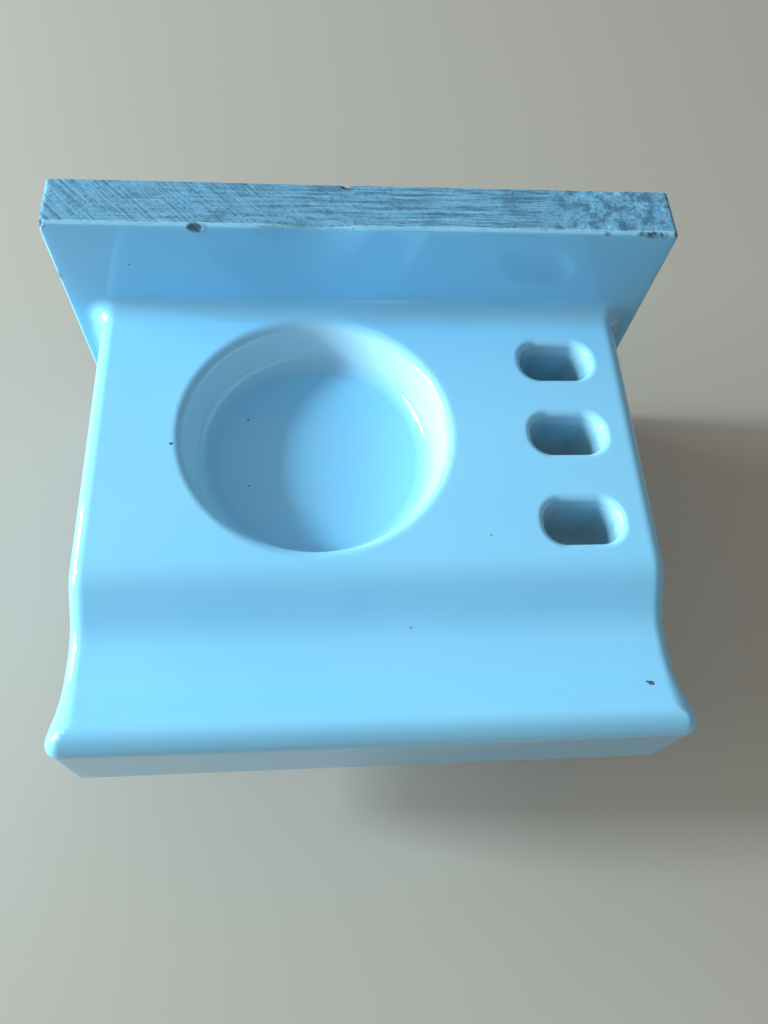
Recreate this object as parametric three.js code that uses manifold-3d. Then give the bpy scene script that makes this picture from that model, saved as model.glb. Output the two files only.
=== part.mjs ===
// Tile-in ceramic shaving shelf: a wall flange that carries a hollow shelf with a round soap well,
// three handle slots and a front trough. Millimetres, +Z up. The origin is the centre of the flange's
// back face, +Y points into the wall and +X is to the right of someone who faces the shelf.
import * as THREE from "three";
import { mergeVertices } from "three/addons/utils/BufferGeometryUtils.js";
import Module from "manifold-3d";

const wasm = await Module();
wasm.setup();

// Flange: a nominal 6 by 4 inch tile.
const FLANGE_WIDTH = 152.4;
const FLANGE_HEIGHT = 101.6;
const FLANGE_THICKNESS = 14.8;
const FLANGE_CORNER = 1.2;
const KEY_DEPTH = 2.5;
const KEY_WIDTH = 8;
const KEY_HEIGHTS = [-36, -12, 12, 36];
const KEY_MARGIN = 10;

// Shelf, measured forward from the flange's front face and down from the deck.
const SHELF_WIDTH = 137.2;
const SHELF_REACH = 113;
const SHELF_DEPTH = 35.8;
const DECK_TOP = 22.6;
const DECK_THICKNESS = 7;
const SIDE_WALL = 5;
const FRONT_WALL = 6;
const PLAN_CORNER = 4;
const TOP_EDGE = 3.7;
const NOSE_EDGE = 6.5;
const JUNCTION_FILLET = 5.5;
const FILLET_ROOT = 2; // how far the fillets go into the shelf's walls
const DRAFT = 2.8; // how much wider each side is at the foot than at the deck
const FLARE = 2; // how much wider each side is at the lip
const FLARE_START = 88;

// Trough and lip: where each slope starts and ends, and how far they lie below the deck.
const TROUGH_REAR = [71, 90.7];
const TROUGH_FRONT = [93, 111.2];
const TROUGH_DROP = 8.5;
const LIP_DROP = 1;

// Soap well.
const WELL_X = -13;
const WELL_REACH = 37.3;
const WELL_RIM_RADIUS = 34.2;
const WELL_WALL_RADIUS = 32.4;
const WELL_FLOOR_RADIUS = 29.6;
const WELL_DEPTH = 14;
const WELL_FLOOR_FILLET = 4.5;
const CUP_RADIUS = 34.2;
const CUP_FLOOR = 6;

// Handle slots, from the wall to the front.
const SLOT_X = 50.2;
const SLOTS = { rear: 16.5, middle: 38.8, front: 63.2 };
const SLOT_LENGTH = 18.4;
const SLOT_WIDTH = 11.2;
const SLOT_CORNER = 5;
const SLEEVE_WALL = 3;
const SLEEVE_DEPTH = 31;

const GAP = 0.3; // between a cut piece and the one that sits in the cut
const PAST = 10; // how far a cutter runs past the piece that it cuts
const ARC_STEPS = 6;
const LATHE_STEPS = 3;
const ROUND_STEPS = 48;
const SLOPE_STEPS = 10; // facets of each slope of the trough
const FLARE_STEPS = 30; // facets along a side wall
const MERGE = 1e-4; // points closer than this are one point

const FRONT_FACE = -FLANGE_THICKNESS;
const SHELF_BOTTOM = DECK_TOP - SHELF_DEPTH;

function toSolid(geometry) {
  geometry.deleteAttribute("normal");
  geometry.deleteAttribute("uv");
  const merged = mergeVertices(geometry, MERGE);
  return new wasm.Manifold(
    new wasm.Mesh({
      numProp: 3,
      vertProperties: new Float32Array(merged.attributes.position.array),
      triVerts: new Uint32Array(merged.index.array),
    }),
  );
}

function toMesh(name, solid, material) {
  const { vertProperties, triVerts } = solid.getMesh();
  const geometry = new THREE.BufferGeometry();
  geometry.setAttribute("position", new THREE.BufferAttribute(vertProperties, 3));
  geometry.setIndex(new THREE.BufferAttribute(triVerts, 1));
  geometry.computeVertexNormals();
  const mesh = new THREE.Mesh(geometry, material);
  mesh.name = name;
  return mesh;
}

function glaze(colour) {
  return new THREE.MeshStandardMaterial({ color: colour, roughness: 0.12, metalness: 0 });
}

// A rectangle with round corners, centred on (x, y).
function roundedRectangle(width, height, radius, x = 0, y = 0) {
  const shape = new THREE.Shape();
  const corners = [
    [width / 2 - radius, height / 2 - radius, 0],
    [radius - width / 2, height / 2 - radius, Math.PI / 2],
    [radius - width / 2, radius - height / 2, Math.PI],
    [width / 2 - radius, radius - height / 2, 1.5 * Math.PI],
  ];
  for (const [cornerX, cornerY, start] of corners) {
    shape.absarc(x + cornerX, y + cornerY, radius, start, start + Math.PI / 2, false);
  }
  shape.closePath();
  return shape;
}

// Extrudes a plan outline (X, Y) from one height to another.
function upright(shape, bottom, top) {
  const settings = { depth: top - bottom, bevelEnabled: false, curveSegments: ARC_STEPS };
  return new THREE.ExtrudeGeometry(shape, settings).translate(0, 0, bottom);
}

// Extrudes a side outline (forward of the flange, Z) across the shelf.
function crosswise(shape, width) {
  const settings = { depth: width, bevelEnabled: false, curveSegments: ARC_STEPS };
  const geometry = new THREE.ExtrudeGeometry(shape, settings);
  const axes = new THREE.Matrix4().makeBasis(
    new THREE.Vector3(0, -1, 0),
    new THREE.Vector3(0, 0, 1),
    new THREE.Vector3(-1, 0, 0),
  );
  return geometry.applyMatrix4(axes).translate(width / 2, FRONT_FACE, 0);
}

// Extrudes a front outline (X, Z) forward from the flange.
function forwards(shape, reach) {
  const settings = { depth: reach, steps: FLARE_STEPS, bevelEnabled: false, curveSegments: ARC_STEPS };
  return new THREE.ExtrudeGeometry(shape, settings).rotateX(Math.PI / 2).translate(0, FRONT_FACE, 0);
}

// Moves each point of a geometry outwards: widen gives the extra half width from the point's Y and Z.
function widened(geometry, widen) {
  const points = geometry.attributes.position;
  for (let i = 0; i < points.count; i++) {
    const extra = widen(points.getY(i), points.getZ(i));
    points.setX(i, points.getX(i) * (1 + (2 * extra) / SHELF_WIDTH));
  }
  return geometry;
}

function draft(y, z) {
  return (DRAFT * (DECK_TOP - z)) / SHELF_DEPTH;
}

function flare(y) {
  const part = Math.max(0, (FRONT_FACE - y - FLARE_START) / (SHELF_REACH - FLARE_START));
  return FLARE * part * part;
}

// Height of the deck, trough and lip at a distance forward of the flange.
function topHeight(forward) {
  const fall = THREE.MathUtils.smootherstep(forward, ...TROUGH_REAR);
  const rise = THREE.MathUtils.smootherstep(forward, ...TROUGH_FRONT);
  return DECK_TOP - TROUGH_DROP * fall + (TROUGH_DROP - LIP_DROP) * rise;
}

// Side outline of the deck, trough, lip and front face. The inner one lies a wall inside the outer one.
function sideOutline(inside) {
  const sink = inside ? DECK_THICKNESS : 0;
  const front = SHELF_REACH - (inside ? FRONT_WALL : 0);
  const nose = inside ? NOSE_EDGE / 2 : NOSE_EDGE;
  const bottom = SHELF_BOTTOM - (inside ? PAST : 0);
  const back = inside ? -PAST : 0;
  const slope = [TROUGH_FRONT, TROUGH_REAR].flatMap(([start, end]) => {
    const step = (end - start) / SLOPE_STEPS;
    return Array.from({ length: SLOPE_STEPS + 1 }, (_, i) => end - i * step);
  });
  const shape = new THREE.Shape();
  shape.moveTo(back, bottom);
  shape.lineTo(front, bottom);
  shape.lineTo(front, topHeight(front) - sink - nose);
  shape.quadraticCurveTo(front, topHeight(front) - sink, front - nose, topHeight(front - nose) - sink);
  for (const forward of slope.filter((place) => place < front - nose)) {
    shape.lineTo(forward, topHeight(forward) - sink);
  }
  shape.lineTo(back, DECK_TOP - sink);
  shape.closePath();
  return shape;
}

// Front outline (X, Z): vertical sides with round top edges. The top is at DECK_TOP less sink.
function frontOutline(width, sink) {
  const top = DECK_TOP - sink;
  const shape = new THREE.Shape();
  shape.moveTo(-width / 2, SHELF_BOTTOM - PAST);
  shape.lineTo(width / 2, SHELF_BOTTOM - PAST);
  shape.absarc(width / 2 - TOP_EDGE, top - TOP_EDGE, TOP_EDGE, 0, Math.PI / 2, false);
  shape.absarc(TOP_EDGE - width / 2, top - TOP_EDGE, TOP_EDGE, Math.PI / 2, Math.PI, false);
  shape.closePath();
  return shape;
}

function shelfBody(inset) {
  const inside = inset > 0;
  const width = SHELF_WIDTH - 2 * inset;
  const reach = SHELF_REACH - (inside ? FRONT_WALL : 0);
  const corner = PLAN_CORNER - inset / 2;
  const plan = roundedRectangle(width + 2 * FLARE, 2 * reach, corner, 0, FRONT_FACE);
  const prism = upright(plan, SHELF_BOTTOM - 2 * PAST, DECK_TOP + PAST);
  const across = frontOutline(width, inside ? DECK_THICKNESS : 0);
  const edges = widened(forwards(across, SHELF_REACH + PAST), (y, z) => draft(y, z) + flare(y));
  const profile = toSolid(crosswise(sideOutline(inside), width + 2 * PAST));
  return profile.intersect(toSolid(widened(prism, draft))).intersect(toSolid(edges));
}

// A concave fillet section with its corner at the origin. Its root goes into the shelf, below Y = 0.
function filletSection() {
  const shape = new THREE.Shape();
  shape.moveTo(0, -FILLET_ROOT);
  shape.lineTo(JUNCTION_FILLET, -FILLET_ROOT);
  shape.lineTo(JUNCTION_FILLET, 0);
  shape.absarc(JUNCTION_FILLET, JUNCTION_FILLET, JUNCTION_FILLET, 1.5 * Math.PI, Math.PI, true);
  shape.closePath();
  return shape;
}

function deckFillet() {
  const section = crosswise(filletSection(), SHELF_WIDTH - 2 * TOP_EDGE);
  return toSolid(section.translate(0, 0, DECK_TOP));
}

// The fillet beside one side wall: side is 1 for the right and -1 for the left.
function sideFillet(side) {
  const height = DECK_TOP - TOP_EDGE - SHELF_BOTTOM;
  const section = upright(filletSection(), -height / 2, height / 2).rotateZ(-Math.PI / 2);
  section.translate(SHELF_WIDTH / 2, FRONT_FACE, 0).rotateY(side > 0 ? 0 : Math.PI);
  return toSolid(widened(section.translate(0, 0, SHELF_BOTTOM + height / 2), draft));
}

function slotPlan(reach, grow) {
  const length = SLOT_LENGTH + 2 * grow;
  const width = SLOT_WIDTH + 2 * grow;
  return roundedRectangle(length, width, SLOT_CORNER + grow, SLOT_X, FRONT_FACE - reach);
}

function slotPrism(reach, grow, bottom, top) {
  return toSolid(upright(slotPlan(reach, grow), bottom, top));
}

function sleeve(reach) {
  const bottom = DECK_TOP - SLEEVE_DEPTH;
  const body = slotPrism(reach, SLEEVE_WALL, bottom, DECK_TOP);
  return body.subtract(slotPrism(reach, 0, bottom - PAST, DECK_TOP + PAST));
}

function wellPlace(geometry) {
  return geometry.rotateX(Math.PI / 2).translate(WELL_X, FRONT_FACE - WELL_REACH, 0);
}

// Lathe points are radius and height, listed from the floor's centre up, over the rim and down outside.
function wellCup() {
  const floor = DECK_TOP - WELL_DEPTH;
  const rim = WELL_RIM_RADIUS - WELL_WALL_RADIUS;
  const flat = WELL_FLOOR_RADIUS - WELL_FLOOR_FILLET;
  const path = new THREE.Path();
  path.moveTo(0, floor);
  path.lineTo(flat, floor);
  path.absarc(flat, floor + WELL_FLOOR_FILLET, WELL_FLOOR_FILLET, -Math.PI / 2, 0, false);
  path.lineTo(WELL_WALL_RADIUS, DECK_TOP - rim);
  path.absarc(WELL_RIM_RADIUS, DECK_TOP - rim, rim, Math.PI, Math.PI / 2, true);
  path.lineTo(CUP_RADIUS, DECK_TOP);
  path.lineTo(CUP_RADIUS, floor);
  path.absarc(CUP_RADIUS - CUP_FLOOR, floor, CUP_FLOOR, 0, -Math.PI / 2, true);
  path.lineTo(0, floor - CUP_FLOOR);
  const points = path.getPoints(LATHE_STEPS);
  points[0].x = 0;
  points[points.length - 1].x = 0;
  const profile = points.reverse();
  return toSolid(wellPlace(new THREE.LatheGeometry(profile, ROUND_STEPS)));
}

function wellHole() {
  const height = DECK_THICKNESS + 2 * PAST;
  const cylinder = new THREE.CylinderGeometry(CUP_RADIUS + GAP, CUP_RADIUS + GAP, height, ROUND_STEPS);
  return toSolid(wellPlace(cylinder).translate(0, 0, DECK_TOP));
}

function shelfShell() {
  let shell = shelfBody(0).subtract(shelfBody(SIDE_WALL)).add(deckFillet());
  shell = shell.add(sideFillet(1)).add(sideFillet(-1)).subtract(wellHole());
  for (const reach of Object.values(SLOTS)) {
    const bottom = DECK_TOP - SLEEVE_DEPTH - GAP;
    shell = shell.subtract(slotPrism(reach, SLEEVE_WALL + GAP, bottom, DECK_TOP + PAST));
  }
  return shell;
}

function wallFlange() {
  const outline = roundedRectangle(FLANGE_WIDTH, FLANGE_HEIGHT, FLANGE_CORNER);
  const settings = { depth: FLANGE_THICKNESS, bevelEnabled: false, curveSegments: ARC_STEPS };
  let plate = toSolid(new THREE.ExtrudeGeometry(outline, settings).rotateX(Math.PI / 2));
  for (const height of KEY_HEIGHTS) {
    const groove = new THREE.BoxGeometry(FLANGE_WIDTH - 2 * KEY_MARGIN, 2 * KEY_DEPTH, KEY_WIDTH);
    plate = plate.subtract(toSolid(groove.translate(0, 0, height)));
  }
  return plate;
}

const shelf = new THREE.Group();
shelf.add(toMesh("wall_flange", wallFlange(), glaze(0x8fc4e8)));
shelf.add(toMesh("shelf_shell", shelfShell(), glaze(0x86d4ff)));
shelf.add(toMesh("well_cup", wellCup(), glaze(0x8ad6ff)));
for (const [place, reach] of Object.entries(SLOTS)) {
  shelf.add(toMesh(`slot_sleeve_${place}`, sleeve(reach), glaze(0x7fb8dc)));
}

export default shelf;
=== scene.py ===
import math

import bmesh
import bpy
import numpy as np
import openvdb
from mathutils import Matrix, Vector


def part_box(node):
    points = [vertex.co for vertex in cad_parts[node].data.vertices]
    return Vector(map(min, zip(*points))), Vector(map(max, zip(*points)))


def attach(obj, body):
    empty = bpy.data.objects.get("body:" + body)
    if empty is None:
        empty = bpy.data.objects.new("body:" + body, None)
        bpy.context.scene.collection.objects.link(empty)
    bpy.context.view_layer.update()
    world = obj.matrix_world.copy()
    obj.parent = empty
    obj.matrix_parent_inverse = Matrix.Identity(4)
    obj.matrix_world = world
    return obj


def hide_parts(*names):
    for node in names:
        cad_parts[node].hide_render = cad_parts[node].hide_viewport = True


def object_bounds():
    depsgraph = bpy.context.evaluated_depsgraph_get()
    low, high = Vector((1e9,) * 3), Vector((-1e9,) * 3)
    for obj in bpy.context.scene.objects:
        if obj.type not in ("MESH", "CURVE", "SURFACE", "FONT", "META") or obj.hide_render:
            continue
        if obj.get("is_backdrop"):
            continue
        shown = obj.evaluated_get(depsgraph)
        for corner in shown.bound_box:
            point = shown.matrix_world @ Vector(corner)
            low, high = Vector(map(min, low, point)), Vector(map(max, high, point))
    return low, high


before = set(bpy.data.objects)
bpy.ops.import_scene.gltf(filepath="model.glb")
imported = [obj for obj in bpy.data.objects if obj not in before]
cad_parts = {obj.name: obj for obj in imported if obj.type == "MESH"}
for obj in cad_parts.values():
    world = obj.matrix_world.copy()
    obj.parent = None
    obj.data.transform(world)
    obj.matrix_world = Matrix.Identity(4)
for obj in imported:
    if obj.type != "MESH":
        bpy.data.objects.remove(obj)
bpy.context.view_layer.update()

# The shape code works in millimetres, in the row frame. Blender objects are in metres.
MM = 0.001


def box_mm(node):
    """A CAD node's lowest and highest corners, in millimetres."""
    low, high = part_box(node)
    return np.array(low) / MM, np.array(high) / MM


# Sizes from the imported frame.
FLANGE_LOW, FLANGE_HIGH = box_mm("wall_flange")
SHELF_LOW = box_mm("shelf_shell")[0]
CUP_LOW, CUP_HIGH = box_mm("well_cup")
SLEEVES = ("slot_sleeve_rear", "slot_sleeve_middle", "slot_sleeve_front")
FRONT_FACE = FLANGE_LOW[1]
DECK = CUP_HIGH[2]
SHELF_REACH = FRONT_FACE - SHELF_LOW[1] - 0.1
SHELF_BOTTOM = SHELF_LOW[2]

# The shelf is drafted towards its foot and flared at its lip.
SHELF_HALF = 68.6
SHELF_X = 0.25
DRAFT = 2.7
FLARE = 1.9
FLARE_START = 88.0

# Shell walls, edge radii and fillets.
SIDE_WALL = 5.0
FRONT_WALL = 6.0
DECK_THICKNESS = 7.0
PLAN_CORNER = 4.0
SIDE_EDGE = 3.7
NOSE_EDGE = 6.5
FOOT_EDGE = 1.5
JUNCTION_FILLET = 5.0
INNER_FILLET = 3.0
FLANGE_CORNER = 1.4
FLANGE_EDGE = 0.7
GROUND_EDGE = 0.5

# Trough and lip, as distances forward of the flange and drops below the deck.
TROUGH_REAR = (71.0, 90.7)
TROUGH_FRONT = (93.0, 111.2)
TROUGH_DROP = 8.5
LIP_DROP = 1.0

# Soap well.
WELL_X, WELL_Y = (CUP_LOW[:2] + CUP_HIGH[:2]) / 2
WELL_DEPTH = 14.0
WELL_FLOOR_RADIUS = 29.6
WELL_WALL_RADIUS = 32.4
WELL_RIM = 2.4
WELL_FLOOR_FILLET = 4.0
CUP_WALL_RADIUS = 33.8
CUP_FLOOR = 6.0
CUP_SEAM = 34.2

# Handle slots.
SLOT_HALF = np.array((9.2, 5.6))
SLOT_CORNER = 5.0
SLOT_EDGE = 1.9
SLEEVE_WALL = 3.0
SLEEVE_SEAM = 3.4
SLOT_X = box_mm(SLEEVES[0])[0][0] + SLOT_HALF[0] + SLEEVE_WALL
SLEEVE_BOTTOM = box_mm(SLEEVES[0])[0][2]
SLOT_YS = [sum(corner[1] for corner in box_mm(sleeve)) / 2 for sleeve in SLEEVES]

# Surface detail: the face of the flange rolls back a little near its edges, and the whole surface
# is shrunk by SHRINK so that its waves stay inside the CAD's box.
ROLL_DEPTH = 0.22
ROLL_WIDTH = 1.6
ROLL_LIMIT = 12.0
WAVE_HEIGHT = 0.08
SHRINK = 0.08
CHIP_LUMPS = 0.2
CHIP_EDGE = 0.1

# Keying grooves in the flange's back.
KEY_HEIGHTS = (-36.0, -12.0, 12.0, 36.0)
KEY_HALF = 4.0
KEY_DEPTH = 2.5
KEY_MARGIN = 10.0
KEY_CORNER = 1.0

# Farther than any part of the object, for cutters and empty fields.
FAR = 200.0

# Chips in the flange's edges: centre, and half sizes along X, Y and Z.
CHIPS = (
    ((-40.3, -14.9, 50.3), (2.0, 1.1, 1.3)),
    ((70.0, -14.8, 50.6), (2.6, 0.8, 0.8)),
    ((67.0, -14.6, 50.9), (1.5, 0.5, 0.5)),
    ((57.6, -14.8, 50.9), (0.9, 0.5, 0.6)),
    ((-4.7, 0.0, 50.8), (1.3, 1.6, 0.9)),
    ((-76.0, -14.4, 50.4), (1.1, 1.5, 1.6)),
    ((-76.3, -11.0, 50.9), (0.8, 1.8, 0.9)),
    ((76.2, -14.6, 50.7), (1.0, 1.2, 1.0)),
    ((-76.2, -14.8, 33.8), (0.7, 0.7, 1.1)),
    ((-76.3, -14.9, -21.0), (0.8, 0.7, 1.5)),
    ((76.3, -14.8, -8.0), (0.8, 0.7, 1.2)),
    ((31.0, -14.8, -50.9), (2.2, 0.9, 0.9)),
    ((-52.0, 0.1, -50.8), (2.5, 1.5, 1.2)),
    ((76.2, 0.0, 28.0), (1.2, 1.3, 2.4)),
)


def round_and(a, b, radius):
    """The space inside both fields, with the edge between them rounded."""
    flat = np.minimum(np.maximum(a, b), -radius)
    return flat + np.hypot(np.maximum(a + radius, 0), np.maximum(b + radius, 0))


def round_or(a, b, radius):
    """The space inside either field, with a concave fillet between them."""
    return -round_and(-a, -b, radius)


def round_cut(a, b, radius):
    """The space inside a but not b, with a rounded edge."""
    return round_and(a, -b, radius)


def rounded_rectangle(u, v, half_u, half_v, radius):
    du = np.abs(u) - half_u + radius
    dv = np.abs(v) - half_v + radius
    return np.hypot(np.maximum(du, 0), np.maximum(dv, 0)) + np.minimum(np.maximum(du, dv), 0) - radius


def ramp(start, end, value):
    """Eases from 0 at start to 1 at end, and the slope of that curve."""
    t = np.clip((value - start) / (end - start), 0, 1)
    return t**3 * (6 * t * t - 15 * t + 10), 30 * (t * (1 - t)) ** 2 / (end - start)


def below_top(forward, z, sink=0.0):
    """Negative below the deck, trough and lip. sink moves the surface down for the inner face."""
    fall, fall_slope = ramp(*TROUGH_REAR, forward)
    rise, rise_slope = ramp(*TROUGH_FRONT, forward)
    height = DECK - sink - TROUGH_DROP * fall + (TROUGH_DROP - LIP_DROP) * rise
    slope = (TROUGH_DROP - LIP_DROP) * rise_slope - TROUGH_DROP * fall_slope
    return (z - height) / np.hypot(1, slope)


def ripple(x, y, z):
    """Slow, uneven waves of a hand-finished surface, from about -1 to 1."""
    waves = np.sin(x / 9.7 + 1.3 * np.sin(y / 21.0) + z / 17.0)
    waves = waves + np.sin(y / 11.9 + 1.1 * np.sin(z / 15.0 + x / 33.0) + 0.7)
    return (waves + np.sin((x + y) / 23.0 + z / 8.3 + 2.1)) / 3


def side_growth(z):
    return DRAFT * (DECK - z) / (DECK - SHELF_BOTTOM)


def shelf_outside(x, y, z):
    forward = FRONT_FACE - y
    flare = FLARE * (np.clip(forward - FLARE_START, 0, None) / (SHELF_REACH - FLARE_START)) ** 2
    half = SHELF_HALF + side_growth(z) + flare
    plan = rounded_rectangle(x - SHELF_X, forward, half, SHELF_REACH, PLAN_CORNER)
    nose, _ = ramp(*TROUGH_FRONT, forward)
    edge = SIDE_EDGE + (NOSE_EDGE - SIDE_EDGE) * nose
    body = round_and(plan, below_top(forward, z), edge)
    body = round_and(body, SHELF_BOTTOM - z, FOOT_EDGE)
    return np.maximum(body, y - FRONT_FACE / 3)


def flange(x, y, z):
    outline = rounded_rectangle(x, z, FLANGE_HIGH[0], FLANGE_HIGH[2], FLANGE_CORNER)
    roll = ROLL_DEPTH * np.exp(np.clip(outline, -ROLL_LIMIT, 0) / ROLL_WIDTH)
    plate = round_and(outline, FRONT_FACE - y + roll, FLANGE_EDGE)
    plate = round_and(plate, y, GROUND_EDGE)
    for height in KEY_HEIGHTS:
        groove = rounded_rectangle(x, z - height, FLANGE_HIGH[0] - KEY_MARGIN, KEY_HALF, KEY_CORNER)
        plate = round_cut(plate, round_and(groove, -KEY_DEPTH - y, KEY_CORNER), GROUND_EDGE)
    return plate


def chips(x, y, z):
    """Negative inside the broken-out chips."""
    lumps = CHIP_LUMPS * np.sin(3.1 * x + 1.7 * z) * np.sin(2.7 * y + 2.2 * z + 0.9 * x)
    nearest = np.full(np.shape(x), FAR)
    for (cx, cy, cz), (hx, hy, hz) in CHIPS:
        reach = np.sqrt(((x - cx) / hx) ** 2 + ((y - cy) / hy) ** 2 + ((z - cz) / hz) ** 2) - 1
        nearest = np.minimum(nearest, reach * min(hx, hy, hz) + lumps)
    return nearest


def slot(x, y, place, grow=0.0):
    return rounded_rectangle(x - SLOT_X, y - place, *(SLOT_HALF + grow), SLOT_CORNER + grow)


def hollow(x, y, z):
    """The open space under the deck, round the cup and the sleeves."""
    forward = FRONT_FACE - y
    half, reach = SHELF_HALF - SIDE_WALL + side_growth(z), SHELF_REACH - FRONT_WALL
    plan = rounded_rectangle(x, forward, half, reach, INNER_FILLET)
    space = round_and(plan, below_top(forward, z, DECK_THICKNESS), SIDE_EDGE)
    space = round_and(space, -forward, INNER_FILLET)
    cup = np.hypot(x - WELL_X, y - WELL_Y) - CUP_WALL_RADIUS
    cup = round_and(cup, DECK - WELL_DEPTH - CUP_FLOOR - z, CUP_FLOOR)
    space = round_cut(space, cup, INNER_FILLET)
    for place in SLOT_YS:
        tube = round_and(slot(x, y, place, SLEEVE_WALL), SLEEVE_BOTTOM - z, GROUND_EDGE)
        space = round_cut(space, tube, INNER_FILLET / 2)
    return space


def well(x, y, z):
    floor = DECK - WELL_DEPTH
    draft = (WELL_WALL_RADIUS - WELL_FLOOR_RADIUS) / WELL_DEPTH
    wall = np.hypot(x - WELL_X, y - WELL_Y) - WELL_FLOOR_RADIUS - draft * (z - floor)
    return round_and(wall, floor - z, WELL_FLOOR_FILLET)


def ceramic(x, y, z):
    """Negative inside the fired piece, positive outside, about as large as the distance to it."""
    body = round_or(flange(x, y, z), shelf_outside(x, y, z), JUNCTION_FILLET)
    body = round_cut(body, hollow(x, y, z), FOOT_EDGE)
    body = round_cut(body, well(x, y, z), WELL_RIM)
    for place in SLOT_YS:
        body = round_cut(body, slot(x, y, place), SLOT_EDGE)
    body = body + WAVE_HEIGHT * ripple(x, y, z) + SHRINK
    return round_cut(body, chips(x, y, z), CHIP_EDGE)


# How the polygons are fitted to the surface: rounds, and the distances over which slopes and
# bends are measured.
SURFACE_STEPS = 3
SURFACE_PROBE = 0.02
NORMAL_PROBE = 0.15
BEND_PROBE = 1.2
SHARP = 0.55


def slope_of(field, points, step):
    """The field's gradient at each point."""
    columns = []
    for axis in range(3):
        shift = np.zeros(3)
        shift[axis] = step
        columns.append((field(*(points + shift).T) - field(*(points - shift).T)) / (2 * step))
    return np.stack(columns, 1)


def bending(field, points, step):
    """Above 0 on a convex edge and below 0 in a fillet: the sum of the curvatures, per millimetre."""
    total = -6 * field(*points.T)
    for axis in range(3):
        shift = np.zeros(3)
        shift[axis] = step
        total = total + field(*(points + shift).T) + field(*(points - shift).T)
    return total / step**2


def polygons(low, high, voxel):
    """Vertices and faces of the ceramic's surface inside a block, moved onto the exact surface."""
    low, high = np.array(low, float), np.array(high, float)
    counts = np.ceil((high - low) / voxel).astype(int) + 5
    start = low - 2 * voxel
    lines = [start[i] + voxel * np.arange(counts[i]) for i in range(3)]
    x, y, z = np.meshgrid(*lines, indexing="ij")
    block = np.maximum(np.maximum(np.maximum(low[0] - x, x - high[0]), np.maximum(low[1] - y, y - high[1])),
                       np.maximum(low[2] - z, z - high[2]))
    values = np.maximum(ceramic(x, y, z), block).astype(np.float32)
    grid = openvdb.FloatGrid(float(values.max()))
    grid.copyFromArray(values)
    points, triangles, quads = grid.convertToPolygons(isovalue=0.0, adaptivity=0.0)
    points = start + voxel * points.astype(float)
    for _ in range(SURFACE_STEPS):
        inside = np.max(np.maximum(low - points, points - high), axis=1) < -voxel / 2
        near = points[inside]
        slope = slope_of(ceramic, near, SURFACE_PROBE)
        length = np.maximum(np.sum(slope * slope, axis=1), 0.25)
        points[inside] = near - slope * (ceramic(*near.T) / length)[:, None]
    return points, [tuple(f) for f in triangles.tolist()] + [tuple(f) for f in quads.tolist()]


def new_object(name, points, faces):
    mesh = bpy.data.meshes.new(name)
    mesh.from_pydata((points * MM).tolist(), [], faces)
    mesh.validate()
    work = bmesh.new()
    work.from_mesh(mesh)
    if work.calc_volume(signed=True) < 0:
        bmesh.ops.reverse_faces(work, faces=work.faces)
    work.to_mesh(mesh)
    work.free()
    made = bpy.data.objects.new(name, mesh)
    bpy.context.scene.collection.objects.link(made)
    return made


# How far the cup's and the sleeves' cutters reach past them.
CUT_BELOW = 3
CUT_ABOVE = 20


def prism(outline, low, high):
    """A closed cutter: an outline of (x, y) points, in millimetres, raised from low to high."""
    count = len(outline)
    points = np.array([(u, v, height) for height in (low, high) for u, v in outline])
    sides = [(i, (i + 1) % count, count + (i + 1) % count, count + i) for i in range(count)]
    return new_object("cutter", points, [tuple(range(count))[::-1], tuple(range(count, 2 * count)), *sides])


def block_cutter(low, high):
    outline = [(low[0], low[1]), (high[0], low[1]), (high[0], high[1]), (low[0], high[1])]
    return prism(outline, low[2], high[2])


def cup_cutter():
    turns = np.linspace(0, 2 * math.pi, 361)[:-1]
    outline = [(WELL_X + CUP_SEAM * math.cos(t), WELL_Y + CUP_SEAM * math.sin(t)) for t in turns]
    return prism(outline, DECK - WELL_DEPTH - CUP_FLOOR - CUT_BELOW, DECK + CUT_ABOVE)


def sleeve_cutter(place):
    half = SLOT_HALF + SLEEVE_SEAM
    radius = SLOT_CORNER + SLEEVE_SEAM
    outline = []
    for quarter, (sx, sy) in enumerate(((1, 1), (-1, 1), (-1, -1), (1, -1))):
        for turn in np.linspace(0, math.pi / 2, 25) + quarter * math.pi / 2:
            u = SLOT_X + sx * (half[0] - radius) + radius * math.cos(turn)
            outline.append((u, place + sy * (half[1] - radius) + radius * math.sin(turn)))
    kept = [point for i, point in enumerate(outline) if math.dist(point, outline[i - 1]) > 0.02]
    return prism(kept, SLEEVE_BOTTOM - CUT_BELOW, DECK + CUT_ABOVE)


def boolean(target, cutter, operation):
    step = target.modifiers.new("cut", "BOOLEAN")
    step.operation, step.object, step.solver = operation, cutter, "MANIFOLD"
    with bpy.context.temp_override(object=target, active_object=target, selected_objects=[target]):
        bpy.ops.object.modifier_apply(modifier=step.name)


def store(mesh, name, values):
    """Keeps one number per vertex for the materials."""
    attribute = mesh.attributes.new(name, "FLOAT", "POINT")
    attribute.data.foreach_set("value", values.astype(np.float32))


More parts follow.
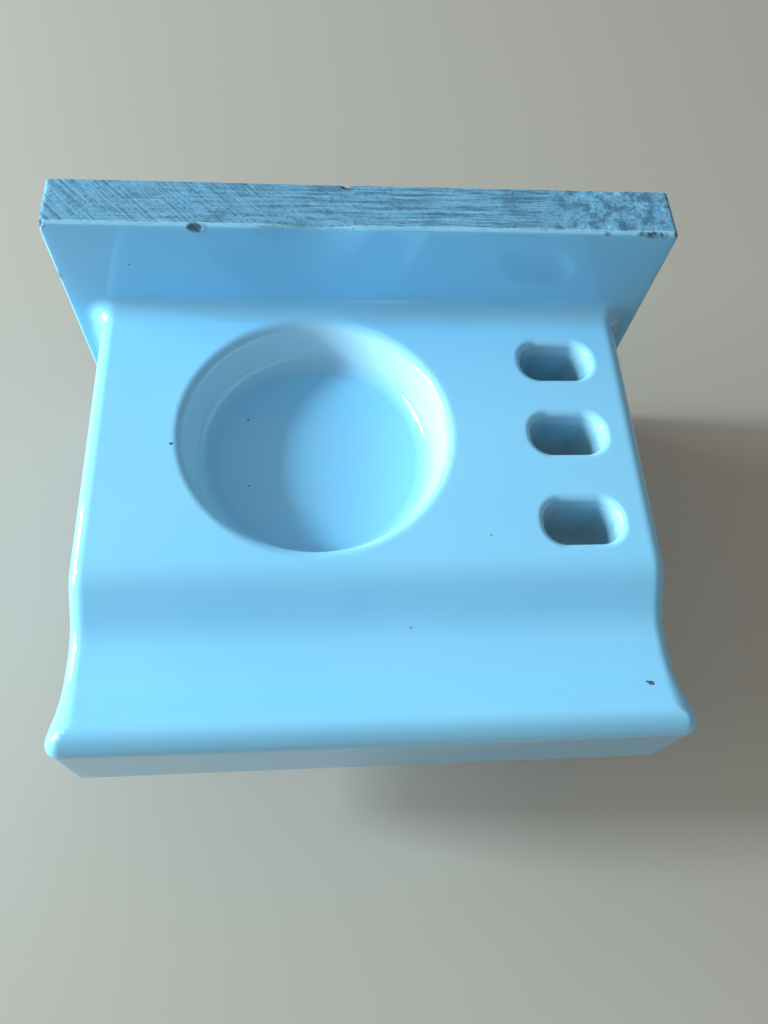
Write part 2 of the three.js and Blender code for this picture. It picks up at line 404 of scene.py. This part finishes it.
def mark_surface(mesh, points, normals):
    """Stores how the surface bends, where it is chipped and deep in a slot, and where the upright walls of
    the well and the slots get painted light.
    """
    x, y, z = points.T
    store(mesh, "bend", np.clip(bending(ceramic, points, BEND_PROBE), -1, 1))
    store(mesh, "chip", np.clip(0.7 - chips(x, y, z) / 0.5, 0, 1))
    in_slot = np.min([slot(x, y, place) for place in SLOT_YS], axis=0)
    sunk = np.clip(0.8 - in_slot, 0, 1) * np.clip((DECK - 2.5 - z) / 6, 0, 1)
    store(mesh, "deep", sunk)
    far = np.hypot(x - WELL_X, y - WELL_Y)
    in_well = np.clip((WELL_WALL_RADIUS + WELL_RIM - far) / WELL_RIM, 0, 1)
    upright = np.clip(1 - normals[:, 2], 0, 1)
    # The pale mask is painted light: a paler glaze on the upright walls in the well and, at half strength,
    # in the slots, standing in for the strong light and bounce light that fall on them.
    store(mesh, "pale", upright * np.maximum(in_well, 0.5 * np.clip(1 - in_slot, 0, 1)))


def smooth_surface(mesh, normals):
    """Gives the corners the exact surface's normals, except where a cut leaves a flat face."""
    mesh.shade_smooth()
    corner = np.zeros(len(mesh.loops), int)
    mesh.loops.foreach_get("vertex_index", corner)
    totals = np.zeros(len(mesh.polygons), int)
    mesh.polygons.foreach_get("loop_total", totals)
    flat = np.zeros(len(mesh.polygons) * 3)
    mesh.polygons.foreach_get("normal", flat)
    flat = np.repeat(flat.reshape(-1, 3), totals, axis=0)
    smooth = normals[corner]
    close = np.sum(flat * smooth, axis=1) > SHARP
    mesh.normals_split_custom_set(np.where(close[:, None], smooth, flat).tolist())


def finish_surface(piece):
    mesh = piece.data
    points = np.zeros(len(mesh.vertices) * 3)
    mesh.vertices.foreach_get("co", points)
    points = points.reshape(-1, 3) / MM
    normals = slope_of(ceramic, points, NORMAL_PROBE)
    normals /= np.maximum(np.linalg.norm(normals, axis=1), 1e-6)[:, None]
    mark_surface(mesh, points, normals)
    smooth_surface(mesh, normals)


def make_piece(name, node, finish, low, high, voxel, keep=None, drop=()):
    """One piece: the ceramic inside a block, the part of it inside keep, less the drop cutters."""
    slot_name, material = finish
    points, faces = polygons(low, high, voxel)
    piece = new_object(name, points, faces)
    if keep is not None:
        boolean(piece, keep, "INTERSECT")
    for cutter in drop:
        boolean(piece, cutter, "DIFFERENCE")
    finish_surface(piece)
    piece.data.materials.clear()
    piece.data.materials.append(material)
    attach(piece, "root")
    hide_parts(node)
    return piece


# ---------------------------------------------------------------- camera
CAMERA_PLACE = (-0.0135, -0.1553, 0.1878)
CAMERA_PITCH, CAMERA_HEADING, CAMERA_ROLL = 63.69, -11.32, 9.45
CAMERA_LENS, SENSOR_WIDTH = 27.6, 36.0
CAMERA_RANGE = (0.01, 10)


def add_camera():
    data = bpy.data.cameras.new("camera")
    data.lens, data.sensor_width, data.sensor_fit = CAMERA_LENS, SENSOR_WIDTH, "AUTO"
    data.clip_start, data.clip_end = CAMERA_RANGE
    camera = bpy.data.objects.new("camera", data)
    turn = Matrix.Rotation(math.radians(CAMERA_HEADING), 4, "Z")
    turn = turn @ Matrix.Rotation(math.radians(90 - CAMERA_PITCH), 4, "X")
    turn = turn @ Matrix.Rotation(math.radians(CAMERA_ROLL), 4, "Z")
    camera.matrix_world = Matrix.Translation(CAMERA_PLACE) @ turn
    bpy.context.scene.collection.objects.link(camera)
    bpy.context.scene.camera = camera


add_camera()


# ---------------------------------------------------------------- materials
GLAZE_COLOUR = (0.255, 0.655, 0.98)
POOLED_COLOUR = (0.22, 0.58, 0.88)
THIN_COLOUR = (0.40, 0.77, 0.98)
# Painted light: the paler glaze used on the upright walls of the well and slots stands in for bright light
# and bounce light on them, not a real glaze change.
PAINTED_LIGHT_COLOUR = (0.58, 0.86, 0.98)
SLOT_COLOUR = (0.30, 0.60, 0.74)
RAW_LIGHT = (0.155, 0.41, 0.64)
RAW_DARK = (0.06, 0.17, 0.27)
RAW_BORDER = (0.40, 0.74, 0.90)
CHIP_COLOUR = (0.035, 0.05, 0.075)
SPECK_COLOUR = (0.05, 0.12, 0.17)
GLAZE_ROUGHNESS = 0.06
RAW_ROUGHNESS = 0.75

# The glaze's slight unevenness: noise scale, bump strength, and height in millimetres.
PEEL_SCALE, PEEL_STRENGTH, PEEL_HEIGHT = 90, 0.35, 0.12

# Noise scales, per metre, of the raw clay's grain and mottle and of ragged glaze edges.
GRAIN_SCALE, MOTTLE_SCALE, BLOTCH_SCALE = 1100, 120, 260
EDGE_SCALE, RAGGED_SCALE, CLOUD_SCALE, AREA_SCALE = 420, 500, 22, 45

# Grinding marks: turn in degrees, and length and spacing in metres.
DIAGONAL_MARKS = (-48, 0.022, 0.0006)
COUNTER_MARKS = (35, 0.015, 0.0007)
LEVEL_MARKS = (0, 0.016, 0.0009)

# Pits and specks in the glaze: centre and radius, in millimetres.
SPECKS = (
    ((-47.8, -56.2, 22.1), 0.65),
    ((61.3, -116.1, 17.0), 0.8),
    ((60.6, -115.6, 17.0), 0.5),
    ((-40.7, -94.6, 17.4), 0.55),
    ((-41.7, -95.1, 17.3), 0.35),
    ((20.5, -113.0, 16.0), 0.4),
    ((8.0, -101.0, 14.6), 0.3),
    ((-31.0, -40.5, 8.6), 0.35),
    ((-30.3, -60.5, 8.6), 0.3),
    ((27.5, -81.5, 22.6), 0.3),
    ((-58.0, -14.9, 38.0), 0.35),
)


class Nodes:
    """A small helper that adds shader nodes to a material and joins them up."""

    def __init__(self, name):
        self.material = bpy.data.materials.new(name)
        self.material.use_nodes = True
        self.tree = self.material.node_tree
        self.shader = self.tree.nodes["Principled BSDF"]

    def add(self, kind, inputs=(), **settings):
        node = self.tree.nodes.new("ShaderNode" + kind)
        for key, value in settings.items():
            setattr(node, key, value)
        for key, value in dict(inputs).items():
            self.put(node.inputs[key], value)
        return node

    def put(self, socket, value):
        if isinstance(value, bpy.types.NodeSocket):
            self.tree.links.new(value, socket)
        elif isinstance(value, tuple) and len(value) == 3 and socket.type == "RGBA":
            socket.default_value = (*value, 1)
        else:
            socket.default_value = value

    def math(self, operation, a, b=0.0):
        return self.add("Math", {0: a, 1: b}, operation=operation).outputs[0]

    def between(self, value, low, high, to_low=0.0, to_high=1.0):
        inputs = {"Value": value, "From Min": low, "From Max": high, "To Min": to_low, "To Max": to_high}
        return self.add("MapRange", inputs, interpolation_type="SMOOTHSTEP").outputs["Result"]

    def mix(self, factor, a, b):
        node = self.add("Mix", data_type="RGBA")
        self.put(node.inputs[0], factor)
        self.put(node.inputs[6], a)
        self.put(node.inputs[7], b)
        return node.outputs[2]

    def noise(self, vector, scale, detail=3.0, rough=0.5):
        inputs = {"Vector": vector, "Scale": scale, "Detail": detail, "Roughness": rough}
        return self.add("TexNoise", inputs).outputs[0]

    def attribute(self, name):
        return self.add("Attribute", attribute_name=name).outputs["Fac"]

    def place(self):
        return self.add("TexCoord").outputs["Object"]

    def lines(self, flat, marks, detail, rough):
        """Noise drawn out into lines."""
        turn, length, spacing = marks
        inputs = {"Vector": flat, "Rotation": (0, 0, math.radians(turn)), "Scale": (length, spacing, 1)}
        drawn_out = self.add("Mapping", inputs, vector_type="TEXTURE").outputs[0]
        return self.noise(drawn_out, 1.0, detail, rough)

    def peel(self, place):
        return self.bump(self.noise(place, PEEL_SCALE, 2), PEEL_STRENGTH, PEEL_HEIGHT)

    def specks(self, place):
        """1 inside a speck and 0 outside."""
        wobble = self.noise(place, 1500, 2)
        total = None
        for centre, radius in SPECKS:
            spot = Vector(centre) * MM
            far = self.add("VectorMath", {0: place, 1: spot}, operation="DISTANCE").outputs["Value"]
            far = self.math("ADD", far, self.math("MULTIPLY", wobble, 0.5 * MM))
            here = self.between(far, (radius + 0.3) * MM, (radius + 0.1) * MM)
            total = here if total is None else self.math("MAXIMUM", total, here)
        return total

    def glaze_colour(self, place):
        bend = self.attribute("bend")
        cloud = self.noise(place, CLOUD_SCALE, 2)
        base = self.mix(self.between(cloud, 0.3, 0.7, 0.0, 0.16), GLAZE_COLOUR, THIN_COLOUR)
        colour = self.mix(self.between(bend, -0.05, -0.3, 0.0, 0.4), base, POOLED_COLOUR)
        thin = self.math("ADD", bend, self.math("MULTIPLY", self.math("SUBTRACT", cloud, 0.5), 0.1))
        colour = self.mix(self.between(thin, 0.15, 0.6, 0.0, 0.12), colour, THIN_COLOUR)
        # Painted light: the upright walls of the well and slots are made paler.
        colour = self.mix(self.attribute("pale"), colour, PAINTED_LIGHT_COLOUR)
        ragged = self.math("MULTIPLY", self.noise(place, RAGGED_SCALE, 4, 0.65), 0.5)
        deep = self.math("ADD", self.attribute("deep"), self.math("SUBTRACT", ragged, 0.25))
        colour = self.mix(self.between(deep, 0.1, 0.55), colour, SLOT_COLOUR)
        return self.mix(self.specks(place), colour, SPECK_COLOUR)

    def bump(self, height, strength, distance, under=None):
        inputs = {"Height": height, "Strength": strength, "Distance": distance * MM}
        if under is not None:
            inputs["Normal"] = under
        return self.add("Bump", inputs).outputs[0]


def glaze_material():
    n = Nodes("glaze")
    place = n.place()
    n.put(n.shader.inputs["Base Color"], n.glaze_colour(place))
    n.put(n.shader.inputs["Roughness"], GLAZE_ROUGHNESS)
    n.put(n.shader.inputs["Normal"], n.bump(n.specks(place), -1.0, 0.2, n.peel(place)))
    return n.material


def raw_scratches(n, place):
    """Saw and grinding marks on the flange's edges, from 0 to 1: diagonal at the left, level in the
    middle and blotchy at the right."""
    split = n.add("SeparateXYZ", {0: place}).outputs
    along = n.math("ADD", split["X"], split["Z"])
    flat = n.add("CombineXYZ", {"X": along, "Y": split["Y"]}).outputs[0]
    diagonal = n.lines(flat, DIAGONAL_MARKS, 4, 0.65)
    counter = n.lines(flat, COUNTER_MARKS, 3, 0.6)
    level = n.lines(flat, LEVEL_MARKS, 5, 0.7)
    area = n.noise(flat, AREA_SCALE, 2)
    saw = n.mix(n.between(area, 0.35, 0.7, 0.1, 0.55), diagonal, level)
    saw = n.mix(n.between(area, 0.6, 0.3, 0.0, 0.35), saw, counter)
    ends = n.between(split["X"], -0.045, 0.01, 0.0, 0.85)
    marks = n.mix(ends, saw, level)
    right = n.between(n.math("ADD", split["X"], n.math("MULTIPLY", area, 0.02)), 0.052, 0.06)
    marks = n.mix(right, marks, n.noise(flat, BLOTCH_SCALE, 5, 0.7))
    return n.add("SeparateColor", {0: marks}).outputs[0]


def flange_material():
    """Glaze on the flange's face, and raw ground clay on its edges and back."""
    n = Nodes("raw_clay")
    place = n.place()
    split = n.add("SeparateXYZ", {0: place}).outputs
    ragged = n.noise(place, EDGE_SCALE, 4, 0.65)
    front = FRONT_FACE * MM
    border = n.math("SUBTRACT", split["Y"], n.between(ragged, 0.3, 0.7, 0.55 * MM, 0.9 * MM))
    chip = n.attribute("chip")
    normal = n.add("SeparateXYZ", {0: n.add("NewGeometry").outputs["Normal"]}).outputs
    facing = n.math("ABSOLUTE", normal["Y"])
    raw = n.math("MULTIPLY", n.between(border, front, front + 0.15 * MM), n.between(facing, 0.95, 0.8))
    raw = n.math("MAXIMUM", raw, n.between(split["Y"], front + 3 * MM, front + 4 * MM))
    back = n.between(facing, 0.6, 0.8)

    marks = raw_scratches(n, place)
    grain = n.noise(place, GRAIN_SCALE, 4, 0.75)
    mottle = n.noise(place, MOTTLE_SCALE, 4, 0.6)
    marks = n.add("SeparateColor", {0: n.mix(back, marks, mottle)}).outputs[0]
    strength = n.between(back, 0.0, 1.0, 0.85, 0.22)
    dark = n.math("MULTIPLY", n.between(marks, 0.46, 0.60), strength)
    dark = n.math("ADD", dark, n.between(grain, 0.48, 0.68, 0.0, 0.6))
    dark = n.math("ADD", dark, n.between(mottle, 0.48, 0.75, 0.0, 0.5))
    clay = n.mix(n.math("MINIMUM", dark, 1.0), RAW_LIGHT, RAW_DARK)
    clay = n.mix(n.between(marks, 0.45, 0.3, 0.0, 0.6), clay, RAW_BORDER)
    rim = n.between(border, front + 0.9 * MM, front + 0.1 * MM, 0.0, 0.8)
    clay = n.mix(rim, clay, RAW_BORDER)
    colour = n.mix(raw, n.glaze_colour(place), clay)
    colour = n.mix(chip, colour, CHIP_COLOUR)
    n.put(n.shader.inputs["Base Color"], colour)
    rough = n.math("MAXIMUM", raw, chip)
    n.put(n.shader.inputs["Roughness"], n.between(rough, 0.0, 1.0, GLAZE_ROUGHNESS, RAW_ROUGHNESS))
    height = n.math("MULTIPLY", n.math("ADD", marks, n.math("MULTIPLY", grain, 0.6)), rough)
    n.put(n.shader.inputs["Normal"], n.bump(height, 0.9, 0.25, n.peel(place)))
    return n.material


GLAZE = ("glaze", glaze_material())
RAW_CLAY = ("raw_clay", flange_material())

# ---------------------------------------------------------------- pieces
SEAM = FRONT_FACE - 1.0
COARSE, MIDDLE, FINE = 0.85, 0.62, 0.5
ROOM = 4.0

flange_side = block_cutter((-FAR, SEAM, -FAR), (FAR, FAR, FAR))
cup_side = cup_cutter()
sleeve_sides = [sleeve_cutter(place) for place in SLOT_YS]

make_piece("flange", "wall_flange", RAW_CLAY, FLANGE_LOW - (2, ROOM, 2), FLANGE_HIGH + 2, MIDDLE,
           keep=flange_side)
make_piece("shelf", "shelf_shell", GLAZE, SHELF_LOW - ROOM,
           (SHELF_HALF + 3 * ROOM, FRONT_FACE + ROOM, DECK + 3 * ROOM), COARSE,
           drop=[flange_side, cup_side, *sleeve_sides])
make_piece("soap_well", "well_cup", GLAZE, CUP_LOW - 3, CUP_HIGH + (3, 3, 10), FINE, keep=cup_side,
           drop=[flange_side])
for node, cutter in zip(SLEEVES, sleeve_sides):
    low, high = box_mm(node)
    name = node.replace("slot_sleeve", "handle_slot")
    make_piece(name, node, GLAZE, low - 2, high + (2, 2, 6), FINE, keep=cutter)
for cutter in (flange_side, cup_side, *sleeve_sides):
    bpy.data.objects.remove(cutter)


# ---------------------------------------------------------------- stage and light
FLOOR_COLOUR = (0.43, 0.395, 0.35)
FLOOR_SIZE = 3.0
AIM = Vector((0, -0.06, 0.01))
LAMP_COLOURS = {"sun_side": (0.74, 0.94, 1.0), "window": (0.77, 0.95, 1.0)}
SKY_TOWARDS = (-0.75, 0.0, 0.65)
SKY_DIM, SKY_BRIGHT, SKY_STRENGTH = (0.27, 0.25, 0.22, 1), (0.68, 0.70, 0.68, 1), 0.8


def add_floor():
    bottom = FLANGE_LOW[2] * MM
    corners = [(FLOOR_SIZE * u, FLOOR_SIZE * v, bottom) for u, v in ((-1, -1), (1, -1), (1, 1), (-1, 1))]
    mesh = bpy.data.meshes.new("floor")
    mesh.from_pydata(corners, [], [(0, 1, 2, 3)])
    floor = bpy.data.objects.new("floor", mesh)
    n = Nodes("floor")
    cloud = n.noise(n.place(), 3, 2)
    pale = tuple(1.04 * part for part in FLOOR_COLOUR)
    n.put(n.shader.inputs["Base Color"], n.mix(n.between(cloud, 0.3, 0.7), FLOOR_COLOUR, pale))
    n.put(n.shader.inputs["Roughness"], 0.7)
    mesh.materials.append(n.material)
    bpy.context.scene.collection.objects.link(floor)
    floor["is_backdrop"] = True


def add_area(name, azimuth, elevation, distance, size, power):
    """A rectangular lamp. Azimuth 0 is towards +X and 90 is towards +Y."""
    turn, lift = math.radians(azimuth), math.radians(elevation)
    way = Vector((math.cos(lift) * math.cos(turn), math.cos(lift) * math.sin(turn), math.sin(lift)))
    data = bpy.data.lights.new(name, "AREA")
    data.shape, data.size, data.size_y = "RECTANGLE", *size
    data.energy, data.color = power, LAMP_COLOURS[name]
    light = bpy.data.objects.new(name, data)
    light.location = AIM + distance * way
    light.rotation_euler = (-way).to_track_quat("-Z", "Y").to_euler()
    bpy.context.scene.collection.objects.link(light)


def add_world():
    """Soft light that is bright above and to the left, and dim below and to the right."""
    world = bpy.data.worlds.new("world")
    world.use_nodes = True
    tree = world.node_tree
    coordinate = tree.nodes.new("ShaderNodeTexCoord")
    dot = tree.nodes.new("ShaderNodeVectorMath")
    dot.operation = "DOT_PRODUCT"
    tree.links.new(coordinate.outputs["Generated"], dot.inputs[0])
    dot.inputs[1].default_value = Vector(SKY_TOWARDS).normalized()
    ramp_node = tree.nodes.new("ShaderNodeValToRGB")
    tree.links.new(dot.outputs["Value"], ramp_node.inputs[0])
    first, last = ramp_node.color_ramp.elements
    first.position, first.color = 0.0, SKY_DIM
    last.position, last.color = 1.0, SKY_BRIGHT
    tree.links.new(ramp_node.outputs["Color"], tree.nodes["Background"].inputs["Color"])
    tree.nodes["Background"].inputs["Strength"].default_value = SKY_STRENGTH
    bpy.context.scene.world = world


add_floor()
add_area("sun_side", 175, 25.5, distance=1.4, size=(0.18, 0.18), power=18)
add_area("window", 174, 12, distance=1.5, size=(1.0, 0.5), power=34)
add_world()
bpy.context.scene.view_settings.view_transform = "Standard"

low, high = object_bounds()
